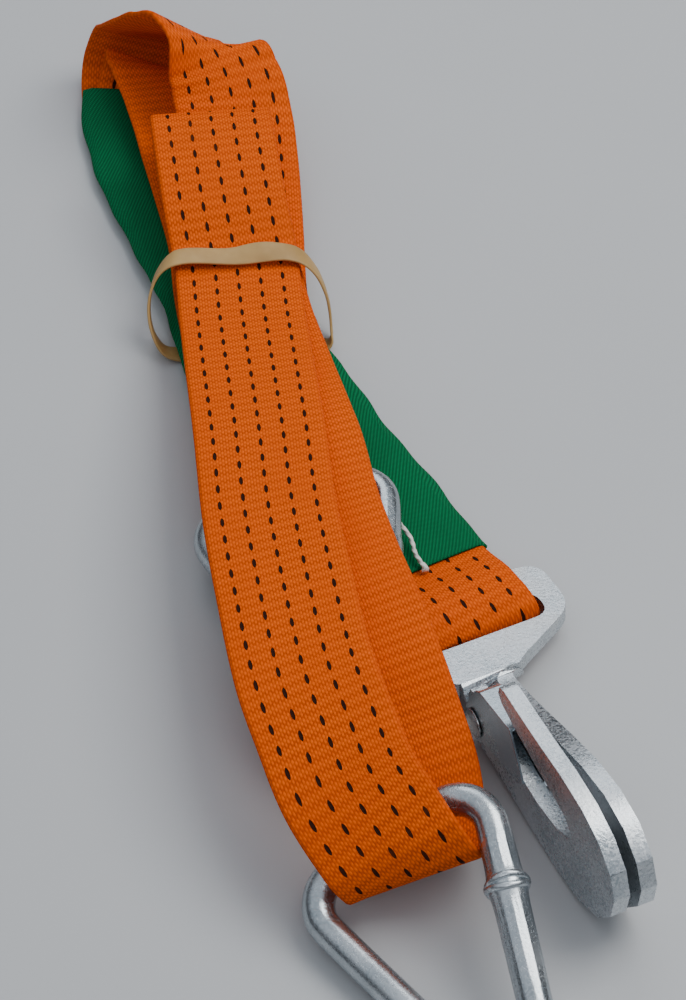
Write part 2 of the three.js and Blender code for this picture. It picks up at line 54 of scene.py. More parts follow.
# The line of the strap in millimetres: x, y, z, turn and roll of its width
ROUTE = [
    (-33, 57, 11.1, 11, 1), (-30.5, 40, 11.5, 11, 3), (-26, 16, 11, 12, 5),
    (-23.2, -2, 10.2, 14, 7), (-21.5, -10, 9.7, 15, 8), (-19, -19, 10, 15, 8),
    (-17.2, -25.4, 14.2, 15, 8), (-17, -27, 18.6, 15, 8), (-17.4, -24.4, 24, 15, 8),
    (-19.4, -17, 27.2, 15, 8), (-21.8, -6, 25.6, 14, 7), (-27, 16, 18.6, 12, 5),
    (-31.5, 40, 15.8, 11, 3), (-36.5, 68, 14, 11, 1), (-41.5, 98, 11.4, 12, 0),
    (-45, 128, 12, 13, 0), (-50.5, 152, 13.2, 14, 0), (-57, 176, 15.2, 13, -3),
    (-62.5, 197, 16.8, 9, -6), (-68, 214, 17.6, 2, -9), (-73.5, 226.5, 16.2, -6, -11),
    (-75.4, 231.6, 13, -9, -8), (-76.6, 231.2, 9, -10, -5), (-78, 222.5, 6.8, -5, -2),
    (-77.6, 209, 5.4, 9, 0), (-71, 184, 5.4, 18, 0), (-60.7, 153.5, 5.4, 21, 0),
    (-46, 118.5, 6.8, 23.5, 0), (-30, 66, 6.8, 27, 0), (-15, 37, 5.4, 29, 0),
    (-1.4, 13, 5.4, 29.5, 0), (14, -13.5, 5.4, 29.5, 0), (30.4, -42, 7.4, 28, 0),
    (38.5, -57, 13.6, 26.5, 0), (43.6, -66.5, 14.6, 25.5, 0), (48.6, -73.4, 9.6, 25.5, 0),
    (47.6, -72.2, 3.6, 25.5, 0), (41, -61, 1.6, 26.5, 0), (30.4, -42, 1.4, 28, 0),
    (14, -13.5, 1.3, 29.5, 0), (-1.4, 13, 1.3, 29.5, 0), (-15, 37, 1.3, 29, 0),
    (-30, 66, 2.8, 27, 0), (-46, 118.5, 2.8, 23.5, 0), (-60.7, 153.5, 1.3, 21, 0),
    (-71.5, 184, 1.3, 18, 0), (-79.5, 209, 1.4, 14, 0), (-84, 225, 2, 12, 0),
    (-84.5, 240.5, 6.5, 8, -3), (-80, 243.5, 20, 5, -9), (-73, 233, 32, 2, -14),
    (-66, 223.5, 40, -1, -22), (-59.5, 215, 44.5, -8, -28), (-53, 207, 44, -13, -28),
    (-48, 199, 39, -11, -26), (-44.5, 188.5, 32, -5, -19), (-42.5, 175, 25.4, -1, -10),
    (-41, 157, 20.6, 2, -5), (-39.5, 130, 17, 5, -1), (-38, 98, 14.8, 8, 0),
    (-35, 66, 17.8, 8, 2), (-31, 34, 22.6, 9, 4), (-25.5, -2, 29.4, 10, 6),
    (-20, -42, 29.4, 10, 7), (-16.5, -72, 28, 8, 6), (-14, -92, 26.6, 7, 5),
    (-12.8, -101, 28.6, 7, 5), (-14, -92, 31, 7, 5), (-17, -72, 31.4, 8, 6),
    (-20.5, -42, 32.8, 10, 7), (-26, -2, 33, 10, 6), (-32, 34, 26.4, 9, 4),
    (-36.5, 66, 21.4, 8, 2), (-40, 98, 18.4, 7, 0), (-45, 128, 21.2, 6, 0),
    (-49.5, 152, 27, 6, 0), (-52, 170, 31, 6, 0), (-53, 177, 35.4, 6, 0),
    (-52.4, 170, 39.2, 6, 0), (-50, 152, 39.4, 6.5, 0), (-46, 126, 34.8, 6, 1),
    (-41.3, 101.5, 25.8, 6, 1), (-38.6, 74, 27.6, 6, 2), (-36, 48.4, 32.6, 6, 2.5),
    (-30.4, -3.6, 42.4, 6, 5), (-26, -48.2, 47, 6, 8.5), (-20, -88.5, 50.5, 7, 11),
    (-13, -126.4, 51.5, 9, 13), (-6.4, -147.3, 49, 11, 15), (1.6, -168, 43.5, 12, 17),
    (11.6, -182.8, 36.5, 11, 19), (18, -189.7, 30.8, 9, 21), (23, -191.1, 23.6, 8, 22),
    (25, -184.6, 16.1, 8, 21), (25.9, -174.6, 13.3, 10, 19), (24.7, -159.5, 15.8, 11, 18),
    (22.6, -146, 20, 12, 17), (17.7, -130, 25.4, 14, 15), (11.2, -112, 33.4, 15, 13),
    (3.1, -86.7, 37.6, 16, 11), (-3.8, -64.5, 37.8, 15, 9), (-10.4, -40, 38, 13, 8),
    (-16.4, -10, 38.4, 11, 6), (-21, 10, 35.4, 11, 5), (-28, 41, 29, 11, 3),
    (-36, 76, 23.8, 8, 1), (-40.4, 102, 22, 7, 0), (-44.5, 126, 26.6, 7, 0),
]

# The closed line of the rubber band in millimetres: x, y, z and lean of its width
BAND_ROUTE = [
    (-64, 100, 29.4, 0), (-41, 101, 28.9, 0), (-19, 102, 29.6, 0), (-11.5, 99, 25, 20),
    (-6.5, 93, 17, 36), (-4.6, 86, 7, 36), (-4.9, 82, 2.4, 18), (-9, 80.7, 0.9, 0),
    (-36, 78.6, 0.9, 0), (-60, 76, 0.95, 0), (-68.5, 76.6, 2.4, 18), (-73.6, 82, 8, 36),
    (-74.6, 90, 17, 36), (-70.6, 97.4, 25, 20),
]

THREAD_ROUTE = [(19, -19, 11.8), (23, -28, 12.4), (26.4, -37, 11.6), (29.4, -45.6, 10.8)]

SLEEVE_FROM = 23
SLEEVE_TO = 32
TRACER_PITCH = 8.5
ROW_PITCH = 2.1
YARN_PITCH = 1.05
STRAP_STEPS = 8
SLEEVE_STEPS = 10
SLEEVE_ASIDE = -2
BAND_STEPS = 10
TWIST_AT = 1.35
TWIST_TURN = 0.42
TWIST_LIFT = 1.2
THREAD_STEPS = 48
THREAD_SIDES = 10
THREAD_RADIUS = 0.75
TANGENT_STEP = 0.0107
PLAIN_SHIFT = 100.0
MERGE_WITHIN = 0.00001
LATCH_EDGE = 0.00025
WELD_PLACE = (0.05658, -0.19127, 0.03117)
WELD_LINE = (0.2016, -0.9374, -0.2841)
WELD_RADIUS = 0.0066
WELD_BEAD = 0.0014
WELD_LEAN = 0.30


class WinchStrapSettings(bpy.types.PropertyGroup):
    """Driving sizes and colours."""

    strap_width: bpy.props.FloatProperty(
        name="Strap width", description="Width of the webbing in metres",
        default=0.048, unit="LENGTH",
    )
    strap_thickness: bpy.props.FloatProperty(
        name="Strap thickness", description="Thickness of the webbing in metres",
        default=0.0024, unit="LENGTH",
    )
    sleeve_width: bpy.props.FloatProperty(
        name="Sleeve width", description="Width of the flat sleeve in metres",
        default=0.056, unit="LENGTH",
    )
    band_width: bpy.props.FloatProperty(
        name="Band width", description="Width of the rubber band in metres",
        default=0.0085, unit="LENGTH",
    )
    edge_bevel: bpy.props.FloatProperty(
        name="Edge rounding", description="Rounding of the forged and cut edges in metres",
        default=0.0006, unit="LENGTH",
    )
    strap_colour: bpy.props.FloatVectorProperty(
        name="Strap colour", description="Colour of the raised yarns of the webbing",
        default=(0.95, 0.135, 0.0, 1.0), size=4, subtype="COLOR",
    )
    sleeve_colour: bpy.props.FloatVectorProperty(
        name="Sleeve colour", description="Colour of the raised ribs of the sleeve",
        default=(0.0, 0.23, 0.078, 1.0), size=4, subtype="COLOR",
    )
    band_colour: bpy.props.FloatVectorProperty(
        name="Band colour", description="Lighter colour of the rubber band",
        default=(0.55, 0.35, 0.13, 1.0), size=4, subtype="COLOR",
    )


def curve_point(points, s, closed=False):
    """Point on the centripetal curve at s, counted in points."""
    n = len(points)
    if closed:
        k = int(math.floor(s)) % n
        w = s - math.floor(s)
        p0, p1, p2, p3 = (points[(k + d) % n] for d in (-1, 0, 1, 2))
    else:
        s = min(max(s, 0.0), n - 1.0)
        k = min(int(math.floor(s)), n - 2)
        w = s - k
        p1 = points[k]
        p2 = points[k + 1]
        p0 = points[k - 1] if k > 0 else p1 * 2 - p2
        p3 = points[k + 2] if k + 2 < n else p2 * 2 - p1
    d0 = (p1 - p0).length_squared ** 0.25
    d1 = (p2 - p1).length_squared ** 0.25
    d2 = (p3 - p2).length_squared ** 0.25
    t1 = ((p1 - p0) / d0 - (p2 - p0) / (d0 + d1) + (p2 - p1) / d1) * d1
    t2 = ((p2 - p1) / d1 - (p3 - p1) / (d1 + d2) + (p3 - p2) / d2) * d1
    c2 = (p2 - p1) * 3 - t1 * 2 - t2
    c3 = (p1 - p2) * 2 + t1 + t2
    return p1 + t1 * w + c2 * w * w + c3 * w * w * w


def strap_frames(first, last, steps):
    """Middle, width direction, normal and run in millimetres at each section of the strap."""
    points = [Vector(r[:3]) + SHIFT for r in ROUTE]
    count = (last - first) * steps
    found = []
    run = 0.0
    before = None
    for i in range(count + 1):
        s = first + i / steps
        k = min(int(s), len(points) - 2)
        f = s - k
        f = f * f * (3 - 2 * f)
        yaw = math.radians(ROUTE[k][3] + (ROUTE[k + 1][3] - ROUTE[k][3]) * f)
        roll = math.radians(ROUTE[k][4] + (ROUTE[k + 1][4] - ROUTE[k][4]) * f)
        middle = curve_point(points, s)
        along = curve_point(points, s + TANGENT_STEP) - curve_point(points, s - TANGENT_STEP)
        along.normalize()
        level = math.cos(roll)
        across = Vector((level * math.cos(yaw), level * math.sin(yaw), math.sin(roll)))
        across = (across - along * across.dot(along)).normalized()
        if before is not None:
            run += (middle - before).length
        before = middle
        found.append((middle, across, along.cross(across), run))
    return found


def side_spans(values):
    """The UV span of each side of a closed profile, from the value at each corner."""
    return [(value, values[(i + 1) % len(values)]) for i, value in enumerate(values)]


def loft(name, sections, sides, runs, ring=False, caps=True):
    """Mesh object over closed sections, with the UV span of each side and the run at each section."""
    size = len(sections[0])
    verts = [tuple(p * MM) for section in sections for p in section]
    faces = []
    marks = []
    spans = len(sections) if ring else len(sections) - 1
    for i in range(spans):
        j = (i + 1) % len(sections)
        for a in range(size):
            b = (a + 1) % size
            faces.append((i * size + a, i * size + b, j * size + b, j * size + a))
            marks.append((i, i + 1, a))
    if caps and not ring:
        faces.append(tuple(range(size)))
        faces.append(tuple(reversed([spans * size + a for a in range(size)])))
    mesh = bpy.data.meshes.new(name)
    mesh.from_pydata(verts, [], faces)
    layer = mesh.uv_layers.new(name="Strap")
    if len(mesh.polygons) != len(faces):
        raise RuntimeError(name + " could not be built")
    for polygon, (low, high, side) in zip(mesh.polygons, marks):
        first, second = sides[side]
        corners = ((first, low), (second, low), (second, high), (first, high))
        for loop, (across, run) in zip(polygon.loop_indices, corners):
            layer.data[loop].uv = (across, runs[run])
    work = bmesh.new()
    work.from_mesh(mesh)
    bmesh.ops.recalc_face_normals(work, faces=work.faces)
    work.to_mesh(mesh)
    work.free()
    for polygon in mesh.polygons:
        polygon.use_smooth = True
    obj = bpy.data.objects.new(name, mesh)
    bpy.context.scene.collection.objects.link(obj)
    return obj


class Tree:
    """Adds shader nodes and links them."""

    def __init__(self, tree):
        self.tree = tree

    def add(self, kind, **values):
        node = self.tree.nodes.new(kind)
        for key, value in values.items():
            setattr(node, key, value)
        return node

    def feed(self, socket, value):
        if isinstance(value, bpy.types.NodeSocket):
            self.tree.links.new(value, socket)
        else:
            socket.default_value = value

    def math(self, operation, a, b=0.0, c=0.0):
        node = self.add("ShaderNodeMath", operation=operation)
        for socket, value in zip(node.inputs, (a, b, c)):
            self.feed(socket, value)
        return node.outputs[0]

    def wave(self, value, pitch):
        """From 0 to 1 and back over each pitch."""
        turn = self.math("MULTIPLY", value, math.tau / pitch)
        return self.math("MULTIPLY_ADD", self.math("SINE", turn), 0.5, 0.5)

    def mix(self, factor, a, b, blend="MIX"):
        node = self.add("ShaderNodeMix", data_type="RGBA", blend_type=blend)
        self.feed(node.inputs["Factor"], factor)
        self.feed(node.inputs[6], a)
        self.feed(node.inputs[7], b)
        return node.outputs[2]

    def noise(self, vector, scale, detail=3.0, rough=0.55):
        node = self.add("ShaderNodeTexNoise")
        self.feed(node.inputs["Vector"], vector)
        self.feed(node.inputs["Scale"], scale)
        self.feed(node.inputs["Detail"], detail)
        self.feed(node.inputs["Roughness"], rough)
        return node.outputs["Fac"]

    def remap(self, value, low, high, to_low, to_high):
        node = self.add("ShaderNodeMapRange")
        for socket, item in zip(node.inputs[:5], (value, low, high, to_low, to_high)):
            self.feed(socket, item)
        return node.outputs[0]

    def bump(self, height, distance, strength=1.0, normal=None):
        node = self.add("ShaderNodeBump")
        self.feed(node.inputs["Height"], height)
        self.feed(node.inputs["Distance"], distance)
        self.feed(node.inputs["Strength"], strength)
        if normal is not None:
            self.feed(node.inputs["Normal"], normal)
        return node.outputs[0]


def material(name):
    """An empty material with its tree, shader and Object coordinates."""
    made = bpy.data.materials.new(name)
    made.use_nodes = True
    tree = Tree(made.node_tree)
    shader = next(n for n in made.node_tree.nodes if n.type == "BSDF_PRINCIPLED")
    place = tree.add("ShaderNodeTexCoord").outputs["Object"]
    return made, tree, shader, place


def zinc_group():
    """Shared mottling of zinc plate: colour, roughness and height from a position."""
    if "Zinc finish" in bpy.data.node_groups:
        return bpy.data.node_groups["Zinc finish"]
    group = bpy.data.node_groups.new("Zinc finish", "ShaderNodeTree")
    face = group.interface
    face.new_socket(name="Vector", in_out="INPUT", socket_type="NodeSocketVector")
    face.new_socket(name="Grain", in_out="INPUT", socket_type="NodeSocketFloat")
    face.new_socket(name="Color", in_out="OUTPUT", socket_type="NodeSocketColor")
    face.new_socket(name="Roughness", in_out="OUTPUT", socket_type="NodeSocketFloat")
    face.new_socket(name="Height", in_out="OUTPUT", socket_type="NodeSocketFloat")
    tree = Tree(group)
    given = tree.add("NodeGroupInput")
    put = tree.add("NodeGroupOutput")
    place = given.outputs["Vector"]
    cloud = tree.noise(place, 45.0, 4.0)
    fine = tree.noise(place, 900.0, 2.0)
    cells = tree.add("ShaderNodeTexVoronoi")
    tree.feed(cells.inputs["Vector"], place)
    tree.feed(cells.inputs["Scale"], 1400.0)
    spark = tree.add("ShaderNodeSeparateColor")
    tree.feed(spark.inputs[0], cells.outputs["Color"])
    grain = tree.math("MULTIPLY", spark.outputs[0], given.outputs["Grain"])
    mottle = tree.remap(cloud, 0.35, 0.65, 0.0, 1.0)
    cold = tree.mix(mottle, (0.34, 0.39, 0.42, 1), (0.56, 0.60, 0.63, 1))
    stain = tree.remap(tree.noise(place, 22.0, 3.0), 0.58, 0.74, 0.0, 0.45)
    warm = tree.mix(stain, cold, (0.52, 0.47, 0.38, 1))
    bright = tree.math("MULTIPLY", grain, 0.6)
    tree.feed(put.inputs["Color"], tree.mix(bright, warm, (0.86, 0.89, 0.92, 1)))
    rough = tree.math("ADD", tree.remap(cloud, 0.3, 0.7, 0.16, 0.30), tree.math("MULTIPLY", grain, 0.14))
    tree.feed(put.inputs["Roughness"], rough)
    tree.feed(put.inputs["Height"], tree.math("ADD", grain, fine))
    return group


def zinc(name, grain, distance, tone=(1.0, 1.0, 1.0, 1.0)):
    """Zinc plate with its own amount of sparkle and depth of grain."""
    made, tree, shader, place = material(name)
    effect = tree.add("ShaderNodeGroup", node_tree=zinc_group())
    tree.feed(effect.inputs["Vector"], place)
    effect.inputs["Grain"].default_value = grain
    dirt = tree.remap(tree.noise(place, 70.0, 6.0, 0.7), 0.62, 0.78, 0.0, 0.5)
    colour = tree.mix(1.0, effect.outputs["Color"], tone, "MULTIPLY")
    tree.feed(shader.inputs["Base Color"], tree.mix(dirt, colour, (0.16, 0.14, 0.12, 1)))
    rough = tree.math("ADD", effect.outputs["Roughness"], tree.math("MULTIPLY", dirt, 0.3))
    tree.feed(shader.inputs["Roughness"], rough)
    shader.inputs["Metallic"].default_value = 0.95
    tree.feed(shader.inputs["Normal"], tree.bump(effect.outputs["Height"], distance, 0.7))
    return made


def webbing_material():
    """Woven orange yarns with five dark tracers on one face, whose UV is below the plain face's shift."""
    made, tree, shader, place = material("Orange webbing")
    uv = tree.add("ShaderNodeUVMap", uv_map="Strap").outputs[0]
    parts = tree.add("ShaderNodeSeparateXYZ")
    tree.feed(parts.inputs[0], uv)
    along = parts.outputs[1]
    plain = tree.math("GREATER_THAN", parts.outputs[0], PLAIN_SHIFT / 2)
    across = tree.math("SUBTRACT", parts.outputs[0], tree.math("MULTIPLY", plain, PLAIN_SHIFT))
    column = tree.math("DIVIDE", across, YARN_PITCH)
    index = tree.math("FLOOR", column)
    yarn = tree.math("ABSOLUTE", tree.math("SINE", tree.math("MULTIPLY", column, math.pi)))
    row = tree.math("ADD", tree.math("DIVIDE", along, ROW_PITCH), tree.math("MULTIPLY", index, 0.5))
    wave = tree.wave(row, 1.0)
    height = tree.math("MULTIPLY_ADD", wave, 0.7, 0.3)
    height = tree.math("MULTIPLY", tree.math("POWER", yarn, 0.5), height)
    rib = tree.math("SINE", tree.math("MULTIPLY", tree.math("DIVIDE", along, ROW_PITCH * 2), math.tau))
    height = tree.math("ADD", height, tree.math("MULTIPLY", rib, 0.16))
    soft = tree.noise(place, 38.0, 3.0)
    raised = bpy.context.scene.winch_strap.strap_colour[:]
    # Painted shade: the low places of the weave are darkened by their height, and the raised yarns keep
    # the strap colour.
    cloth = tree.mix(tree.remap(height, 0.1, 0.95, 0.0, 1.0), (0.52, 0.060, 0.0, 1), raised)
    cloth = tree.mix(tree.remap(soft, 0.35, 0.7, 0.0, 0.3), cloth, (0.68, 0.080, 0.0, 1))
    near = tree.math("ROUND", tree.math("DIVIDE", across, TRACER_PITCH))
    side = tree.math("SUBTRACT", across, tree.math("MULTIPLY", near, TRACER_PITCH))
    phase = tree.math("ADD", tree.math("DIVIDE", along, TRACER_PITCH), tree.math("MULTIPLY", near, 0.26))
    step = tree.math("SUBTRACT", tree.math("FRACT", phase), 0.5)
    step = tree.math("MULTIPLY", step, TRACER_PITCH / 2.3)
    reach = tree.math("POWER", tree.math("ABSOLUTE", step), 3.0)
    reach = tree.math("ADD", reach, tree.math("DIVIDE", tree.math("ABSOLUTE", side), 0.72))
    dash = tree.math("LESS_THAN", reach, 1.0)
    inside = tree.math("LESS_THAN", tree.math("ABSOLUTE", near), 2.5)
    dash = tree.math("MULTIPLY", dash, inside)
    dash = tree.math("MULTIPLY", dash, tree.math("SUBTRACT", 1.0, plain))
    edge = tree.remap(tree.math("ABSOLUTE", across), 22.4, 23.6, 0.0, 0.45)
    cloth = tree.mix(edge, cloth, (0.55, 0.065, 0.0, 1))
    cloth = tree.mix(dash, cloth, (0.030, 0.010, 0.006, 1))
    grime = tree.remap(tree.noise(place, 16.0, 5.0, 0.65), 0.60, 0.85, 0.0, 0.25)
    tree.feed(shader.inputs["Base Color"], tree.mix(grime, cloth, (0.42, 0.07, 0.004, 1)))
    tree.feed(shader.inputs["Roughness"], tree.remap(height, 0.0, 1.0, 0.78, 0.56))
    shader.inputs["Specular IOR Level"].default_value = 0.05
    wide = tree.bump(tree.noise(uv, 0.045, 2.0), 0.0016, 0.6)
    tree.feed(shader.inputs["Normal"], tree.bump(height, 0.00028, 0.7, wide))
    return made


def sleeve_material():
    """Green plain weave with fine slanted ribs."""
    made, tree, shader, place = material("Green sleeve")
    uv = tree.add("ShaderNodeUVMap", uv_map="Strap").outputs[0]
    parts = tree.add("ShaderNodeSeparateXYZ")
    tree.feed(parts.inputs[0], uv)
    sum_line = tree.math("ADD", parts.outputs[0], tree.math("MULTIPLY", parts.outputs[1], 0.7))
    other = tree.math("SUBTRACT", parts.outputs[0], tree.math("MULTIPLY", parts.outputs[1], 1.4))
    twill = tree.math("MULTIPLY_ADD", tree.wave(sum_line, 1.5), 0.7, 0.3)
    cross = tree.math("MULTIPLY_ADD", tree.wave(other, 1.1), 0.6, 0.4)
    height = tree.math("MULTIPLY", twill, cross)
    raised = bpy.context.scene.winch_strap.sleeve_colour[:]
    # Painted shade: the low places of the weave are darkened by their height, and the raised ribs keep
    # the sleeve colour.
    cloth = tree.mix(tree.remap(height, 0.05, 0.85, 0.0, 1.0), (0.0, 0.045, 0.016, 1), raised)
    shade = tree.remap(tree.noise(place, 30.0, 3.0), 0.4, 0.75, 0.0, 0.35)
    tree.feed(shader.inputs["Base Color"], tree.mix(shade, cloth, (0.0, 0.09, 0.032, 1)))
    tree.feed(shader.inputs["Roughness"], tree.remap(height, 0.0, 1.0, 0.75, 0.5))
    shader.inputs["Specular IOR Level"].default_value = 0.08
    wide = tree.bump(tree.noise(place, 60.0, 2.0), 0.0015, 0.5)
    tree.feed(shader.inputs["Normal"], tree.bump(height, 0.0003, 0.8, wide))
    return made


def rubber_material():
    """Tan rubber with fine dust and pale specks."""
    made, tree, shader, place = material("Tan rubber")
    spots = tree.noise(place, 260.0, 4.0, 0.6)
    dust = tree.noise(place, 55.0, 3.0)
    light = bpy.context.scene.winch_strap.band_colour[:]
    base = tree.mix(tree.remap(dust, 0.35, 0.7, 0.0, 1.0), (0.40, 0.235, 0.075, 1), light)
    specks = tree.remap(spots, 0.6, 0.8, 0.0, 0.4)
    tree.feed(shader.inputs["Base Color"], tree.mix(specks, base, (0.60, 0.43, 0.22, 1)))
    tree.feed(shader.inputs["Roughness"], tree.remap(spots, 0.3, 0.7, 0.42, 0.62))
    tree.feed(shader.inputs["Normal"], tree.bump(spots, 0.0002, 0.4))
    return made


def thread_material():
    """White sewing thread with twisted plies."""
    made, tree, shader, place = material("White thread")
    ply = tree.noise(place, 1500.0, 2.0)
    tone = tree.noise(place, 200.0, 3.0)
    base = tree.mix(tree.remap(tone, 0.35, 0.7, 0.0, 1.0), (0.62, 0.61, 0.56, 1), (0.85, 0.84, 0.80, 1))
    tree.feed(shader.inputs["Base Color"], base)
    tree.feed(shader.inputs["Roughness"], tree.remap(ply, 0.3, 0.7, 0.6, 0.85))
    tree.feed(shader.inputs["Normal"], tree.bump(ply, 0.0002, 0.6))
    return made


def floor_material():
    """Pale grey matt table top."""
    made, tree, shader, place = material("Pale table")
    cloud = tree.noise(place, 3.0, 3.0)
    grain = tree.noise(place, 500.0, 2.0)
    tree.feed(shader.inputs["Base Color"], tree.mix(cloud, (0.46, 0.475, 0.49, 1), (0.53, 0.54, 0.55, 1)))
    tree.feed(shader.inputs["Roughness"], tree.remap(grain, 0.3, 0.7, 0.42, 0.55))
    tree.feed(shader.inputs["Normal"], tree.bump(grain, 0.0001, 0.2))
    return made


def finish_piece(obj, body, nodes, look):
    """Gives the piece its material and body, and hides the nodes it replaces."""
    obj.data.materials.clear()
    obj.data.materials.append(look)
    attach(obj, body)
    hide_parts(*nodes)


def clear_selection():
    """Leaves nothing selected."""
    if bpy.context.object is not None and bpy.context.object.mode != "OBJECT":
        bpy.ops.object.mode_set(mode="OBJECT")
    bpy.ops.object.select_all(action="DESELECT")


def make_active(obj):
    """Selects only this object."""
    clear_selection()
    obj.hide_set(False)
    obj.select_set(True)
    bpy.context.view_layer.objects.active = obj


def merged_copy(node, name, flat):
    """A copy of a CAD node with its doubles merged, and flat faces joined or triangles paired."""
    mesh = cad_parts[node].data.copy()
    mesh.name = name
    obj = bpy.data.objects.new(name, mesh)
    bpy.context.scene.collection.objects.link(obj)
    make_active(obj)
    bpy.ops.object.mode_set(mode="EDIT")
    bpy.ops.mesh.select_all(action="SELECT")
    bpy.ops.mesh.remove_doubles(threshold=MERGE_WITHIN)
    if flat:
        bpy.ops.mesh.dissolve_limited(angle_limit=math.radians(1.0))
    else:
        widest = math.radians(60)
        bpy.ops.mesh.tris_convert_to_quads(face_threshold=widest, shape_threshold=widest)
    bpy.ops.mesh.normals_make_consistent(inside=False)
    bpy.ops.object.mode_set(mode="OBJECT")
    return obj


def rounded_copy(node, name, width, segments):
    """A merged copy of a CAD node with rounded edges."""
    obj = merged_copy(node, name, True)
    bevel = obj.modifiers.new("Rounded edges", "BEVEL")
    bevel.width = width
    bevel.segments = segments
    bevel.limit_method = "ANGLE"
    bevel.angle_limit = math.radians(28.0)
    bevel.use_clamp_overlap = True
    bpy.ops.object.modifier_apply(modifier=bevel.name)
    bpy.ops.object.shade_smooth_by_angle(angle=math.radians(32.0))
    flat = obj.modifiers.new("Flat faces", "WEIGHTED_NORMAL")
    flat.keep_sharp = True
    flat.weight = 100
    bpy.ops.object.modifier_apply(modifier=flat.name)
    return obj


def smooth_copy(node, name):
    """A merged copy of a round CAD bar, made smoother."""
    obj = merged_copy(node, name, False)
    smoother = obj.modifiers.new("Smoother bar", "SUBSURF")
    smoother.levels = 2
    smoother.render_levels = 2
    bpy.ops.object.modifier_apply(modifier=smoother.name)
    bpy.ops.object.shade_smooth()
    return obj


class WINCHSTRAP_OT_webbing(bpy.types.Operator):
    """Builds the continuous webbing over its folded line"""

    bl_idname = "winchstrap.webbing"
    bl_label = "Webbing"

    def execute(self, context):
        settings = context.scene.winch_strap
        half = settings.strap_width / MM / 2
        thick = settings.strap_thickness / MM / 2
        selvedge = [(half, 0), (half - 0.2, thick * 0.5), (half - 0.8, thick * 0.88), (half - 2, thick)]
        upper = [(-u, v) for u, v in selvedge]
        upper += [(-half / 2, thick), (0, thick), (half / 2, thick)]
        upper += selvedge[::-1]
        profile = upper + [(u, -v) for u, v in reversed(upper[1:-1])]
        frames = strap_frames(0, len(ROUTE) - 1, STRAP_STEPS)
        sections = [[m + a * u + n * v for u, v in profile] for m, a, n, run in frames]
        sides = side_spans([u for u, v in profile])
        tracer_sides = len(upper) - 1
        for side in range(tracer_sides, len(sides)):
            sides[side] = tuple(value + PLAIN_SHIFT for value in sides[side])
        obj = loft("Webbing", sections, sides, [f[3] for f in frames])
        finish_piece(obj, "bundle", ["webbing"], webbing_material())
        return {"FINISHED"}


class WINCHSTRAP_OT_sleeve(bpy.types.Operator):
    """Builds the flat woven sleeve round one pass of the webbing"""

    bl_idname = "winchstrap.sleeve"
    bl_label = "Sleeve"

    def execute(self, context):
        settings = context.scene.winch_strap
        half = settings.sleeve_width / MM / 2
        frames = strap_frames(SLEEVE_FROM, SLEEVE_TO, SLEEVE_STEPS)
        start = frames[0][3]
        total = frames[-1][3] - start
        levels = [(-1, 0), (-0.985, 0.75), (-0.93, 1.35), (-0.86, 2.3), (-0.6, 2.6), (-0.2, 2.6)]
        upper = levels + [(-u, v) for u, v in reversed(levels)]
        outer = upper + [(u, -v) for u, v in reversed(upper[1:-1])]
        sections = []
        for middle, across, normal, run in frames:
            part = (run - start) / total
            ripple = 0.5 * math.sin(part * 31) + 0.35 * math.sin(part * 73 + 1)
            section = []
            for u, v in outer:
                reach = u * half + SLEEVE_ASIDE + (ripple if abs(u) > 0.9 else 0)
                lift = v
                if abs(u) < 0.7 and v > 0:
                    lift = v + 0.12 * math.sin(part * 57 + u * 9)
                section.append(middle + across * reach + normal * lift)
            sections.append(section)
        sides = side_spans([u * half for u, v in outer])
        obj = loft("Sleeve", sections, sides, [f[3] for f in frames], caps=False)
        make_active(obj)
        wall = obj.modifiers.new("Cloth thickness", "SOLIDIFY")
        wall.thickness = 0.0008
        wall.offset = -1
        bpy.ops.object.modifier_apply(modifier=wall.name)
        finish_piece(obj, "bundle", ["sleeve"], sleeve_material())
        return {"FINISHED"}


class WINCHSTRAP_OT_band(bpy.types.Operator):
    """Builds the rubber band with its slight twist over the bundle"""

    bl_idname = "winchstrap.band"
    bl_label = "Rubber band"

    def execute(self, context):
        settings = context.scene.winch_strap
        half = settings.band_width / MM / 2
        points = [Vector(r[:3]) + SHIFT for r in BAND_ROUTE]
        profile = [(-1, -0.35), (-1, 0.35), (-0.9, 0.5), (0.9, 0.5)]
        profile += [(-u, -v) for u, v in profile]
        sections = []
        runs = [0.0]
        before = None
        for i in range(len(points) * BAND_STEPS):
            s = i / BAND_STEPS
            k = int(s)
            here = BAND_ROUTE[k][3]
            after = BAND_ROUTE[(k + 1) % len(points)][3]
            lean = math.radians(here + (after - here) * (s - k))
            middle = curve_point(points, s, True)
            along = curve_point(points, s + 0.01, True) - curve_point(points, s - 0.01, True)
            along.normalize()
            across = Vector((0, math.cos(lean), -math.sin(lean)))
            across = (across - along * across.dot(along)).normalized()
            normal = along.cross(across)
            twist = TWIST_TURN * math.exp(-((s - TWIST_AT) / 0.35) ** 2)
            wide = across * math.cos(twist) + normal * math.sin(twist)
            up = normal * math.cos(twist) - across * math.sin(twist)
            lifted = middle + Vector((0, 0, TWIST_LIFT)) * math.exp(-((s - TWIST_AT) / 0.4) ** 2)
            if before is not None:
                runs.append(runs[-1] + (middle - before).length)
            before = middle
            sections.append([lifted + wide * (u * half) + up * v for u, v in profile])
        runs.append(runs[-1] + 2.0)
        sides = side_spans([u * half for u, v in profile])
        obj = loft("Rubber_band", sections, sides, runs, ring=True)
        finish_piece(obj, "bundle", ["rubber_band"], rubber_material())
        return {"FINISHED"}


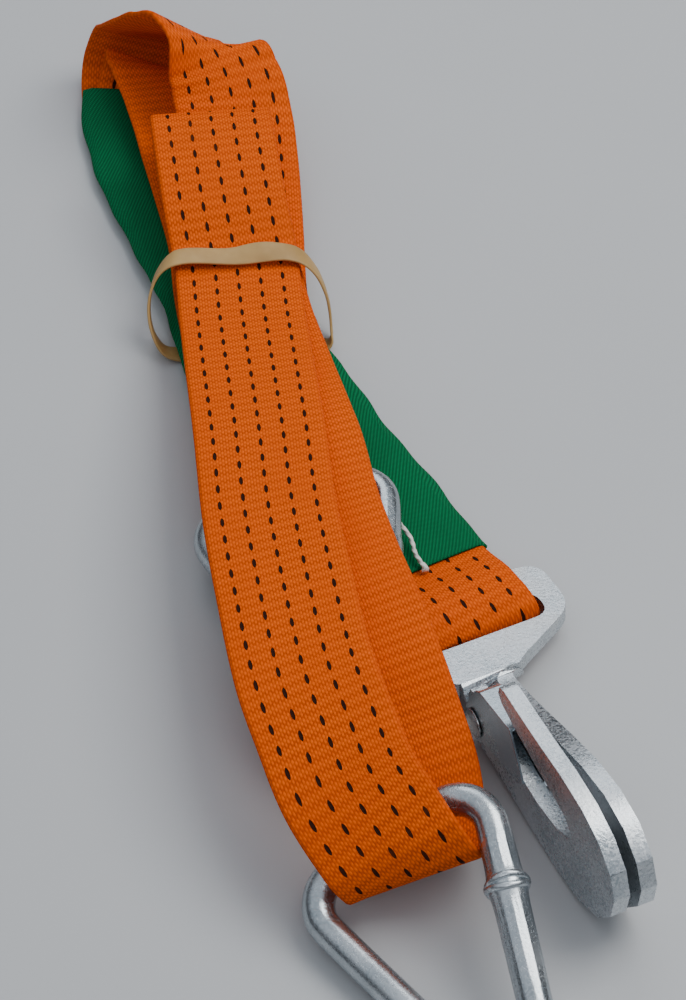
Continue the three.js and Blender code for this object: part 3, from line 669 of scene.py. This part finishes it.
class WINCHSTRAP_OT_thread(bpy.types.Operator):
    """Builds the loose end of the sewing thread"""

    bl_idname = "winchstrap.thread"
    bl_label = "Loose thread"

    def execute(self, context):
        points = [Vector(r) + SHIFT for r in THREAD_ROUTE]
        sections = []
        runs = []
        frayed = THREAD_STEPS - 6
        for i in range(THREAD_STEPS + 1):
            s = i / THREAD_STEPS * (len(points) - 1)
            middle = curve_point(points, s)
            along = curve_point(points, s + 0.02) - curve_point(points, s - 0.02)
            along.normalize()
            side = along.cross(Vector((0, 0, 1))).normalized()
            up = side.cross(along)
            wander = side * (0.5 * math.sin(i * 0.23)) + up * (0.5 + 0.4 * math.sin(i * 0.17 + 1))
            size = THREAD_RADIUS + 0.12 * max(0, i - frayed)
            ring = []
            for a in range(THREAD_SIDES):
                turn = a / THREAD_SIDES * math.tau + i * 0.35
                swell = 1 + 0.28 * math.cos(3 * a / THREAD_SIDES * math.tau)
                out = side * math.cos(turn) + up * math.sin(turn)
                ring.append(middle + wander + out * size * swell)
            sections.append(ring)
            runs.append(i * 0.6)
        sides = [(a, a + 1) for a in range(THREAD_SIDES)]
        obj = loft("Loose_thread", sections, sides, runs)
        finish_piece(obj, "bundle", ["thread_end"], thread_material())
        return {"FINISHED"}


class WINCHSTRAP_OT_rings(bpy.types.Operator):
    """Builds the two welded triangle rings"""

    bl_idname = "winchstrap.rings"
    bl_label = "Triangle rings"

    def execute(self, context):
        lower = smooth_copy("ring_lower", "Lower_ring")
        line = Vector(WELD_LINE)
        for lean in (-WELD_LEAN, WELD_LEAN):
            turn = line.to_track_quat("Z", "Y").to_euler()
            turn.rotate_axis("X", lean)
            clear_selection()
            bpy.ops.mesh.primitive_torus_add(
                major_segments=40, minor_segments=10, major_radius=WELD_RADIUS,
                minor_radius=WELD_BEAD, location=WELD_PLACE, rotation=turn,
            )
            bead = bpy.context.object
            bpy.ops.object.shade_smooth()
            bpy.ops.object.transform_apply(location=True, rotation=True, scale=True)
            lower.select_set(True)
            bpy.context.view_layer.objects.active = lower
            bpy.ops.object.join()
        finish_piece(lower, "lower_ring", ["ring_lower"], zinc("Ring zinc", 0.35, 0.00012))
        upper = smooth_copy("ring_upper", "Upper_ring")
        finish_piece(upper, "bundle", ["ring_upper"], lower.data.materials[0])
        return {"FINISHED"}


class WINCHSTRAP_OT_hook(bpy.types.Operator):
    """Builds the slotted plate with its rear blade, the front blade and the rivet"""

    bl_idname = "winchstrap.hook"
    bl_label = "Twin hook"

    def execute(self, context):
        width = context.scene.winch_strap.edge_bevel
        look = zinc("Forged zinc", 0.9, 0.00016)
        plate = rounded_copy("hook_plate", "Hook_plate", width, 3)
        finish_piece(plate, "bundle", ["hook_plate"], look)
        blade = rounded_copy("hook_blade", "Front_blade", width, 3)
        finish_piece(blade, "front_blade", ["hook_blade"], look)
        rivet = rounded_copy("blade_rivet", "Blade_rivet", width / 2, 2)
        finish_piece(rivet, "bundle", ["blade_rivet"], zinc("Rivet zinc", 0.2, 0.0001))
        return {"FINISHED"}


class WINCHSTRAP_OT_latches(bpy.types.Operator):
    """Builds the two folded sheet latches"""

    bl_idname = "winchstrap.latches"
    bl_label = "Latches"

    def execute(self, context):
        look = zinc("Latch zinc", 0.25, 0.00008, (0.92, 0.97, 1.0, 1.0))
        front = rounded_copy("latch_front", "Front_latch", LATCH_EDGE, 2)
        finish_piece(front, "front_latch", ["latch_front"], look)
        rear = rounded_copy("latch_rear", "Rear_latch", LATCH_EDGE, 2)
        finish_piece(rear, "rear_latch", ["latch_rear"], look)
        return {"FINISHED"}


class WINCHSTRAP_OT_stage(bpy.types.Operator):
    """Adds the pale table, the soft lights and the camera"""

    bl_idname = "winchstrap.stage"
    bl_label = "Table, lights and camera"

    def execute(self, context):
        clear_selection()
        bpy.ops.mesh.primitive_plane_add(size=6.0, location=(0, 0, 0))
        table = bpy.context.object
        table.name = "Table"
        table.data.materials.append(floor_material())
        lights = (
            ("Large_light", (0.85, 0.25, 1.5), (-9, 30, 0), 1.1, 19.0, (1.0, 0.98, 0.95)),
            ("Front_light", (0.15, -1.5, 1.4), (48, 4, 0), 0.9, 3.0, (0.93, 0.96, 1.0)),
            ("Back_light", (-0.1, 1.5, 1.45), (-46, -3, 0), 1.1, 6.0, (0.95, 0.97, 1.0)),
        )
        for name, place, turn, size, power, colour in lights:
            bpy.ops.object.light_add(type="AREA", location=place)
            lamp = bpy.context.object
            lamp.name = name
            lamp.rotation_euler = Euler([math.radians(t) for t in turn])
            lamp.data.shape = "SQUARE"
            lamp.data.size = size
            lamp.data.energy = power
            lamp.data.color = colour
        world = bpy.data.worlds.new("Soft room")
        world.use_nodes = True
        back = world.node_tree.nodes["Background"]
        room = Tree(world.node_tree)
        heights = room.add("ShaderNodeSeparateXYZ")
        room.feed(heights.inputs[0], room.add("ShaderNodeTexCoord").outputs["Generated"])
        high = room.remap(heights.outputs[2], 0.30, 0.75, 0.0, 1.0)
        room.feed(back.inputs["Color"], room.mix(high, (0.10, 0.10, 0.11, 1), (0.86, 0.92, 1.0, 1)))
        back.inputs["Strength"].default_value = 0.75
        context.scene.world = world
        bpy.ops.object.camera_add(location=(0.0030834, -0.8769, 0.9508))
        camera = bpy.context.object
        camera.name = "Photo_camera"
        camera.rotation_euler = Euler((math.radians(43), 0, 0))
        camera.data.sensor_fit = "VERTICAL"
        camera.data.sensor_height = 36.0
        camera.data.lens = 126.0
        camera.data.clip_start = 0.02
        context.scene.camera = camera
        return {"FINISHED"}


STEPS = ("webbing", "sleeve", "band", "thread", "rings", "hook", "latches", "stage")


class WINCHSTRAP_PT_panel(bpy.types.Panel):
    """Lists the pieces of the winch strap"""

    bl_idname = "WINCHSTRAP_PT_panel"
    bl_label = "Winch strap"
    bl_space_type = "VIEW_3D"
    bl_region_type = "UI"
    bl_category = "Winch strap"

    def draw(self, context):
        layout = self.layout
        settings = context.scene.winch_strap
        for name in WinchStrapSettings.__annotations__:
            layout.prop(settings, name)
        for step in STEPS:
            layout.operator("winchstrap." + step)


CLASSES = (
    WinchStrapSettings,
    WINCHSTRAP_OT_webbing,
    WINCHSTRAP_OT_sleeve,
    WINCHSTRAP_OT_band,
    WINCHSTRAP_OT_thread,
    WINCHSTRAP_OT_rings,
    WINCHSTRAP_OT_hook,
    WINCHSTRAP_OT_latches,
    WINCHSTRAP_OT_stage,
    WINCHSTRAP_PT_panel,
)


def register():
    for item in CLASSES:
        bpy.utils.register_class(item)
    bpy.types.Scene.winch_strap = bpy.props.PointerProperty(type=WinchStrapSettings)


def unregister():
    del bpy.types.Scene.winch_strap
    for item in reversed(CLASSES):
        bpy.utils.unregister_class(item)


def main():
    register()
    clear_selection()
    for step in STEPS:
        if getattr(bpy.ops.winchstrap, step)() != {"FINISHED"}:
            raise RuntimeError(step + " could not be built")


if __name__ == "__main__":
    main()
